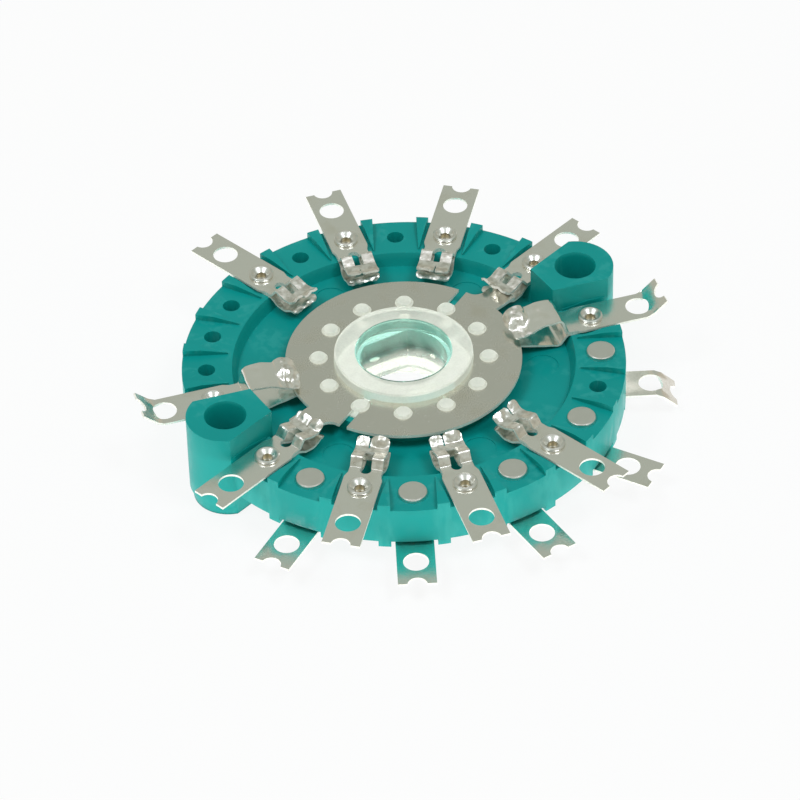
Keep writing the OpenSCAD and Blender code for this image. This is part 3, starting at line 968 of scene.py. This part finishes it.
@dataclass(frozen=True)
class ShortLugSizes:
    """Sizes of a short clip's lug leaf: corners, the split jaw, and spans of what varies."""

    tip_at: float = 20.85
    foot_at: float = 12.56
    inner: Points = ((12.05, 2.43), (11.15, 2.09), (10.55, 2.08))
    lip_at: float = 9.8
    bends: Floats = (0.12, 0.11, 0.3, 0.4)
    bent_from: float = 12.6
    slot_to: float = 11.15
    slit_from: float = 10.75
    slit_half: float = 0.06
    corner: float = 0.14
    shorter: float = 0.1
    crown: Point = (0.02, 0.2)
    lip_play: Span = (-0.06, 0.08)
    slit_off: Span = (0.12, 0.3)
    arch: Span = (0.22, 0.36)
    arch_half: float = 0.6
    ridge: Span = (0.08, 0.16)
    ridge_half: float = 0.45
    droop: Span = (0.0, 0.12)
    wavy: Span = (0.5, 1.0)
    wave: float = 0.03
    wave_sizes: tuple[float, float, int] = (0.4, 1.1, 8)
    lowest: float = -0.015


@dataclass(frozen=True)
class LongLugSizes:
    """Sizes of a long clip's lug leaf: corners, worn tip, and rises of the crimped tip.

    The worn tip gives lengths back from the end and in from one side. A raised or sunk side has
    its height and what the very end loses of it.
    """

    tip: Point = (20.42, 2.91)
    fold_at: float = 19.15
    foot_at: float = 12.45
    inner: Points = (
        (12.1, 3.14), (10.75, 3.14), (9.8, 2.83), (9.3, 2.8), (8.75, 2.62), (8.3, 2.28),
    )
    bends: Floats = (0.35, 0.3, 0.42, 0.9, 0.6, 0.6, 0.5)
    jaw_from: float = 9.75
    jaw_width: float = 2.6
    worn_tip: Points = (
        (0.3, 0.0), (0.1, 0.14), (0.0, 0.65), (0.02, 1.17), (0.12, 1.625), (0.12, 2.4), (0.28, 2.6),
    )
    fold_off: Span = (-0.25, 0.0)
    fold_half: float = 0.4
    grown: Span = (-0.3, 0.35)
    late: float = 0.7
    raised: Point = (0.30, 0.12)
    sunk: Point = (0.26, 0.16)
    tilted: Span = (0.9, 2.0)
    tilt: float = 0.1
    wavy: float = 0.8
    wave: float = 0.02
    crimp: float = 0.085
    crimp_sizes: tuple[float, float, int] = (0.4, 0.8, 7)


@dataclass(frozen=True)
class SpringSizes:
    """Sizes of a spring leaf: corners, outline, and heights of its waves and crimped lip."""

    drop_at: float
    inner: Points
    bends: Floats
    width: float
    slot_to: float | None = None
    strip_z: float = 1.59
    tail_at: float = 15.9
    tail_reach: float = 1.15
    bent_from: float = 12.6
    wide_from: float = 12.3
    wide_to: float = 11.7
    round_play: Span = (0.22, 0.4)
    round_share: float = 0.3
    lip: float = 0.55
    lip_sink: float = 0.06
    crimp: float = 0.07
    crimp_sizes: Span = (0.5, 1.0)
    wavy: float = 0.6
    wave: float = 0.025
    highest: float = 0.02


@dataclass
class ContactClip:
    """One contact clip: lug leaf and spring leaf of a station."""

    station: int
    kind: ClipKind
    side: Side
    hand: int = 1
    lip_z: float = 2.46
    dish_share: float = 1.0
    sizes: ClipSizes = ClipSizes()
    short_sizes: ShortLugSizes = ShortLugSizes()
    long_sizes: LongLugSizes = LongLugSizes()
    short_spring: SpringSizes = SpringSizes(
        drop_at=12.62,
        inner=((11.95, 1.22), (11.1, 1.14), (10.35, 1.5), (9.98, 1.38)),
        bends=(0.3, 0.5, 0.6, 0.25),
        width=2.6,
        slot_to=11.0,
    )
    long_spring: SpringSizes = SpringSizes(
        drop_at=12.55,
        inner=((11.9, 0.74), (8.72, 1.53), (8.1, 1.33)),
        bends=(0.3, 0.4, 0.3),
        width=2.44,
    )

    def build(self, face: Material, edge: Material) -> None:
        """Builds both leaves in place of their nodes.

        Args:
            face: Finish of the sheet.
            edge: Finish of its cut edges, pale partly as a painted highlight.
        """
        lug = self.long_lug() if self.kind is ClipKind.LONG else self.short_lug()
        a = math.radians(self.station * STEP_DEG)
        x_axis, y_axis = (math.cos(a), math.sin(a), 0.0), (-math.sin(a), math.cos(a), 0.0)
        axes = np.array((x_axis, y_axis, (0.0, 0.0, self.side.value)))
        for word, leaf in (("lug_leaf", lug), ("spring_leaf", self.spring())):
            name = f"bent_{word}_{self.station:02d}"
            points, faces, whole = leaf.solid(self.sizes.sheet)
            if self.side is Side.LOWER:
                faces = [tuple(reversed(f)) for f in faces]
            mesh = bpy.data.meshes.new(name)
            mesh.from_pydata((points @ axes * MM).tolist(), [], faces)
            mesh.materials.append(face)
            mesh.materials.append(edge)
            cut = [int(i >= whole) for i in range(len(faces))]
            mesh.polygons.foreach_set("material_index", cut)
            mesh.polygons.foreach_set("use_smooth", [True] * len(faces))
            mesh.set_sharp_from_angle(angle=math.radians(SHARP_DEG))
            mesh.update()
            piece = bpy.data.objects.new(name, mesh)
            bpy.context.scene.collection.objects.link(piece)
            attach(piece, Body.WAFER.value)
            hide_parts(f"{word}_{self.station:02d}")
            LOG.info("bent %s", name)

    def rng(self) -> np.random.Generator:
        """Random numbers of this station, the same each time."""
        return np.random.default_rng(DRAW_SEED + self.station)

    @staticmethod
    def arc(at: float, r: float, angles: Array) -> Loop:
        """Points on a circle at a length along the strip."""
        return [(at + r * math.cos(a), r * math.sin(a)) for a in angles]

    def ring(self, at: float, r: float) -> Loop:
        """A round hole at a length along the strip."""
        return self.arc(at, r, np.linspace(0, 2 * math.pi, RING_DOTS, endpoint=False))

    def fork(self, path: SheetPath, end_radius: float) -> Loop:
        """The slot between the two legs, with its round end.

        Args:
            path: Middle line of the strip.
            end_radius: Radius at which the slot ends.

        Returns:
            The slot's loop.
        """
        c = self.sizes
        at, half = path.length_at(c.keyhole_at), c.slot_width / 2
        start = math.asin(half / c.keyhole)
        angles = np.linspace(start, 2 * math.pi - start, SLOT_DOTS)
        end = path.length_at(end_radius)
        return [*self.arc(at, c.keyhole, angles), (end, -half), (end, half)]

    def lug(self, path: SheetPath, jaw: Loop, lift: Lift, slots: list[Loop]) -> BentLeaf:
        """Lug leaf with its notch, eye and rivet hole.

        Args:
            path: Middle line of the strip.
            jaw: Outline of the jaw, from one side to the other.
            lift: Rise over the bent strip.
            slots: Slots between its legs.

        Returns:
            The leaf.
        """
        c = self.sizes
        w, j = c.lug_width / 2, c.jaw_width / 2
        reach = math.acos(c.notch_out / c.notch)
        notch = self.arc(-c.notch_out, c.notch, np.linspace(-reach, reach, NOTCH_DOTS))
        sides = ((path.length_at(c.shoulder_at), w), (path.length_at(c.neck_at), j))
        back = [(s, -t) for s, t in reversed(sides)]
        outline = [(0.0, -w), *notch, (0.0, w), *sides, *jaw, *back]
        rings = ((c.rivet_at, c.rivet_hole), (c.eye_at, c.eye))
        holes = [self.ring(path.length_at(at), r) for at, r in rings]
        return BentLeaf(path, outline, [*holes, *slots], lift, path.length_at(c.fine_from))

    def split_jaw(self, root: float, end: float, slit: float) -> Loop:
        """Outline of a jaw that is split into two fingers.

        Args:
            root: Length along the strip where the slit starts.
            end: Length along the strip at the tip.
            slit: Place of the slit across the strip.

        Returns:
            The outline from one side to the other.
        """
        c = self.short_sizes
        j, corner, short = self.sizes.jaw_width / 2, c.corner, end - c.shorter
        crown_back, crown_half = c.crown
        far, near = slit + c.slit_half, slit - c.slit_half
        middle = (far + j) / 2
        return [
            (root, j),
            (end - 2 * corner, j),
            (short, j - c.shorter),
            (end - crown_back, middle + crown_half),
            (end, middle),
            (end - c.slit_half, far + corner),
            (end - crown_half, far),
            (root, far),
            (root, near),
            (short - corner, near),
            (short, near - corner),
            (short, corner + crown_back - j),
            (short - corner, -j),
            (root, -j),
        ]

    def short_lug(self) -> BentLeaf:
        """Lug leaf of a short clip: stepped legs, creased head and a split, dished jaw.

        Returns:
            The leaf.
        """
        c, rng = self.short_sizes, self.rng()
        lip = (c.lip_at, self.lip_z + rng.uniform(*c.lip_play))
        flat = [(r, self.sizes.lug_z) for r in (c.tip_at, c.foot_at)]
        path = SheetPath([*flat, *c.inner, lip], c.bends)
        slit = rng.choice((-1, 1)) * rng.uniform(*c.slit_off)
        root, end, bent = path.length_at(c.slit_from), path.total, path.length_at(c.bent_from)
        arch, ridge, droop = (rng.uniform(*play) for play in (c.arch, c.ridge, c.droop))
        waves = Unevenness(self.station, *c.wave_sizes)
        half = self.sizes.jaw_width / 2
        far, near = (slit + c.slit_half + half) / 2, (slit - c.slit_half - half) / 2

        def lift(s: Array, t: Array) -> Array:
            """Rise of the dished fingers and of the waves.

            Args:
                s: Lengths along the strip.
                t: Lengths across it.

            Returns:
                The rise.
            """
            grown = ramp(s, root, end - c.shorter)
            dish = arch * np.clip(1.0 - ((t - far) / c.arch_half) ** 2, 0.0, 1.0)
            fold = droop + ridge * np.clip(1.0 - np.abs(t - near) / c.ridge_half, 0.0, 1.0)
            rise = self.dish_share * grown * np.where(t > slit, dish, fold)
            wavy = ramp(s, bent + c.wavy[0], bent + c.wavy[1])
            return np.maximum(rise + (c.wave * wavy + c.wave * grown) * waves(s, t), c.lowest)

        jaw = self.split_jaw(root, end, slit)
        return self.lug(path, jaw, lift, [self.fork(path, c.slot_to)])

    def long_lug(self) -> BentLeaf:
        """Lug leaf of a long clip: bent up lug, high arm and a crimped tip in one piece.

        Returns:
            The leaf.
        """
        c, hand = self.long_sizes, self.hand
        flat = [(r, self.sizes.lug_z) for r in (c.fold_at, c.foot_at)]
        path = SheetPath([c.tip, *flat, *c.inner], c.bends)
        fold = hand * self.rng().uniform(*c.fold_off)
        root, end, bent = path.length_at(c.jaw_from), path.total, path.length_at(c.foot_at)
        waves = Unevenness(self.station)
        crimp = Unevenness(self.station + TIP_SEED, *c.crimp_sizes)

        def lift(s: Array, t: Array) -> Array:
            """Rise and fall of the two sides of the crimped tip, and the waves of the arm.

            Args:
                s: Lengths along the strip.
                t: Lengths across it.

            Returns:
                The rise.
            """
            grown = ramp(s, root + c.grown[0], root + c.grown[1])
            late = ramp(s, end - c.late, end)
            side = ramp(hand * t, hand * fold - c.fold_half, hand * fold + c.fold_half)
            raised = (c.raised[0] - c.raised[1] * late) * side
            sunk = (c.sunk[0] - c.sunk[1] * late) * (1.0 - side)
            tilt = c.tilt * ramp(s, bent + c.tilted[0], bent + c.tilted[1]) * hand * t
            wave = c.wave * ramp(s, bent, bent + c.wavy) * waves(s, t)
            crimped = c.crimp * grown * (1.0 + crimp(s, t))
            return grown * (raised - sunk) + tilt * (1.0 - late) + wave + crimped

        half = c.jaw_width / 2
        worn = [(end - back, half - off) for back, off in c.worn_tip]
        return self.lug(path, [(root, half), *worn, (root, -half)], lift, [])

    def spring(self) -> BentLeaf:
        """Spring leaf under the lug leaf: a deep loop that comes up under the blade.

        Returns:
            The leaf.
        """
        c = self.long_spring if self.kind is ClipKind.LONG else self.short_spring
        path = SheetPath([(c.tail_at, c.strip_z), (c.drop_at, c.strip_z), *c.inner], c.bends)
        end, bent = path.total, path.length_at(c.bent_from)
        waves = Unevenness(self.station + SPRING_SEED)
        crimp = Unevenness(self.station + LIP_SEED, *c.crimp_sizes)

        def lift(s: Array, t: Array) -> Array:
            """Waves of the sheet and of its crimped lip.

            Args:
                s: Lengths along the strip.
                t: Lengths across it.

            Returns:
                The rise.
            """
            lip = ramp(s, end - c.lip, end) * (c.crimp * crimp(s, t) - c.lip_sink)
            wave = c.wave * ramp(s, bent, bent + c.wavy) * waves(s, t)
            return np.minimum(lip + wave, c.highest)

        j, w, round_r = self.sizes.jaw_width / 2, c.width / 2, self.rng().uniform(*c.round_play)
        cut = c.round_share * round_r
        rivet = path.length_at(self.sizes.rivet_at)
        angles = np.linspace(-math.pi / 2, math.pi / 2, TAIL_DOTS)
        tail = [(rivet - c.tail_reach * math.cos(a), j * math.sin(a)) for a in angles]
        side = [
            (path.length_at(c.wide_from), j),
            (path.length_at(c.wide_to), w),
            (end - round_r, w),
            (end - cut, w - cut),
            (end, w - round_r),
        ]
        outline = [*tail, *side, *((s, -t) for s, t in reversed(side))]
        holes = [self.ring(rivet, self.sizes.rivet_hole)]
        if c.slot_to:
            holes.append(self.fork(path, c.slot_to))
        return BentLeaf(path, outline, holes, lift, path.length_at(self.sizes.fine_from))


@dataclass
class ClipSet:
    """All contact clips and their rivets, by the numbers of their stations."""

    upper_short: Stations = (1, 3, 5, 7, 13, 15, 17, 19)
    upper_long: Stations = (23, 11)
    lower_short: Stations = (20, 18, 16, 14)
    lower_long: Stations = (22,)
    left_handed: Stations = (11,)
    flat_lipped: Stations = (3, 5)
    flat_lip_z: float = 2.24
    flat_dish_share: float = 0.55
    short_sheet: SheetFinish = SheetFinish()
    long_sheet: SheetFinish = SheetFinish(name="long_clip_sheet", jaw_reach=9.7)
    cut: CutEdgeWithPaintedHighlight = CutEdgeWithPaintedHighlight()

    def build(self) -> None:
        """Bends every clip and dresses its rivet."""
        sheets = {
            ClipKind.SHORT: self.short_sheet.material(),
            ClipKind.LONG: self.long_sheet.material(),
        }
        # Cut edges, pale partly as a painted highlight along them
        edge = self.cut.material()
        rivets = {side: RivetFinish(f"rivet_{side.name.lower()}", side).material() for side in Side}
        for kind, side, stations in (
            (ClipKind.SHORT, Side.UPPER, self.upper_short),
            (ClipKind.LONG, Side.UPPER, self.upper_long),
            (ClipKind.SHORT, Side.LOWER, self.lower_short),
            (ClipKind.LONG, Side.LOWER, self.lower_long),
        ):
            for k in stations:
                clip = ContactClip(k, kind, side, -1 if k in self.left_handed else 1)
                if k in self.flat_lipped:
                    clip = replace(clip, lip_z=self.flat_lip_z, dish_share=self.flat_dish_share)
                clip.build(sheets[kind], edge)
                NodeDresser().dress(f"rivet_{k:02d}", rivets[side])


def main() -> None:
    """Builds the stage and dresses every piece."""
    logging.basicConfig(level=logging.INFO, format="%(name)s: %(message)s")
    PhotoCamera().build()
    Studio().build()
    Wafer().build()
    Rotor().build()
    ClipSet().build()


if __name__ == "__main__":
    main()
